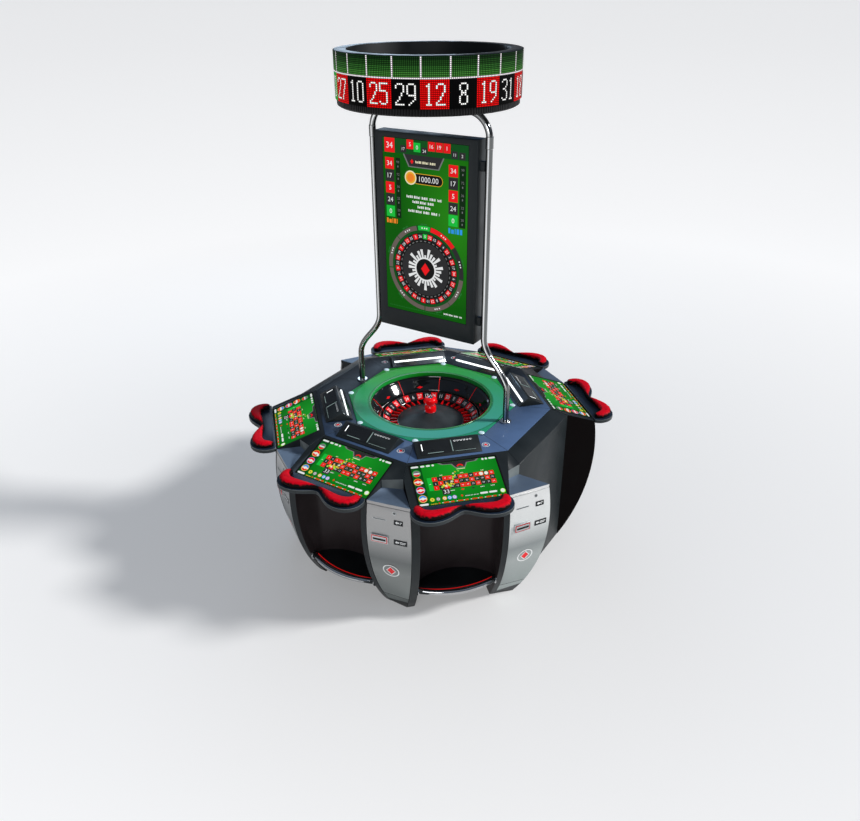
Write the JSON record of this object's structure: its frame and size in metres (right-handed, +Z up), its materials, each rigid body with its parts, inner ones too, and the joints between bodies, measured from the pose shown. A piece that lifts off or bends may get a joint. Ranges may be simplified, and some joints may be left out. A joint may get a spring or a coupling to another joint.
{
  "type": "roulette table",
  "caption": "Octagonal electronic roulette table: sunken wheel with ball, touch-screen player stations with armrests and cash modules, and an overhead display and drum sign on chrome posts.",
  "frame": {"origin": "on the floor, at the centre of the footprint, under the wheel's axis", "axes": "+Z up along the wheel's axis, -Y towards the player side that the display's front faces, +X towards one blank side and its post"},
  "size_m": [1.9338, 2.192, 2.878],
  "materials": {
    "carcass": "charcoal laminate on board",
    "station": "gloss near-black",
    "console": "satin charcoal",
    "deck": "mirror gloss dark navy",
    "surround": "gloss green",
    "bowl": "high gloss black",
    "rotor": "gloss black and red",
    "turret": "gloss red",
    "chrome": "polished",
    "steel": "turned",
    "motor": "black anodised",
    "silver": "satin silver",
    "pad": "soft red and black",
    "screen": "lit display panel",
    "band": "lit lamp panel",
    "display": "satin charcoal",
    "sign": "satin blue-black",
    "belt": "matte",
    "ball": "polished white"
  },
  "bodies": {
    "table_body": {"base_carcass": "carcass", "deck_plate": "deck", "wheel_surround": "surround", "side_panel_east": "carcass", "side_panel_west": "carcass", "wheel_bowl": "bowl", "bearing_housing": "steel", "drive_motor": "motor", "drive_belt": "belt", "station_a_frame": "station", "station_a_screen": "screen", "station_a_console": "console", "station_a_armrest_tray": "station", "station_a_armrest_pad": "pad", "station_b_frame": "station", "station_b_screen": "screen", "station_b_console": "console", "station_b_armrest_tray": "station", "station_b_armrest_pad": "pad", "station_c_frame": "station", "station_c_screen": "screen", "station_c_console": "console", "station_c_armrest_tray": "station", "station_c_armrest_pad": "pad", "station_e_frame": "station", "station_e_screen": "screen", "station_e_console": "console", "station_e_armrest_tray": "station", "station_e_armrest_pad": "pad", "station_f_frame": "station", "station_f_screen": "screen", "station_f_console": "console", "station_f_armrest_tray": "station", "station_f_armrest_pad": "pad", "station_g_frame": "station", "station_g_screen": "screen", "station_g_console": "console", "station_g_armrest_tray": "station", "station_g_armrest_pad": "pad", "post_east": "chrome", "post_west": "chrome", "top_arch": "chrome", "display_housing": "display", "display_screen_front": "screen", "display_screen_back": "screen", "sign_drum": "sign", "sign_led_band": "band"},
    "rotor": {"wheel_rotor": "rotor", "wheel_turret": "turret", "rotor_spindle": "steel", "driven_pulley": "steel"},
    "motor_shaft": {"motor_pulley": "steel"},
    "ball": {"roulette_ball": "ball"},
    "door_a": {"station_a_door": "silver"},
    "door_b": {"station_b_door": "silver"},
    "door_c": {"station_c_door": "silver"},
    "door_e": {"station_e_door": "silver"},
    "door_f": {"station_f_door": "silver"},
    "door_g": {"station_g_door": "silver"}
  },
  "joints": [
    {"name": "rotor_spin", "type": "hinge", "parent": "table_body", "child": "rotor", "pos_m": [0, 0, 0.79], "axis": [0, 0, 1], "continuous": true},
    {"name": "motor_spin", "type": "hinge", "parent": "table_body", "child": "motor_shaft", "pos_m": [0.17, 0, 0.641], "axis": [0, 0, 1], "continuous": true},
    {"name": "ball_orbit", "type": "hinge", "parent": "table_body", "child": "ball", "pos_m": [0, 0, 0.8946], "axis": [0, 0, 1], "continuous": true},
    {"name": "door_a_tilt", "type": "hinge", "parent": "table_body", "child": "door_a", "pos_m": [0.79617, -0.38403, 0.1205], "axis": [0.6119, 0.791, 0], "range_deg": [0, 70]},
    {"name": "door_b_tilt", "type": "hinge", "parent": "table_body", "child": "door_b", "pos_m": [0.29142, -0.83453, 0.1205], "axis": [0.9919, 0.1267, 0], "range_deg": [0, 70]},
    {"name": "door_c_tilt", "type": "hinge", "parent": "table_body", "child": "door_c", "pos_m": [-0.38403, -0.79617, 0.1205], "axis": [0.791, -0.6119, 0], "range_deg": [0, 70]},
    {"name": "door_e_tilt", "type": "hinge", "parent": "table_body", "child": "door_e", "pos_m": [-0.79617, 0.38403, 0.1205], "axis": [-0.6119, -0.791, 0], "range_deg": [0, 70]},
    {"name": "door_f_tilt", "type": "hinge", "parent": "table_body", "child": "door_f", "pos_m": [-0.29142, 0.83453, 0.1205], "axis": [-0.9919, -0.1267, 0], "range_deg": [0, 70]},
    {"name": "door_g_tilt", "type": "hinge", "parent": "table_body", "child": "door_g", "pos_m": [0.38403, 0.79617, 0.1205], "axis": [-0.791, 0.6119, 0], "range_deg": [0, 70]}
  ],
  "couplings": [
    {"joint": "motor_spin", "follows": "rotor_spin", "ratio": 3}
  ]
}
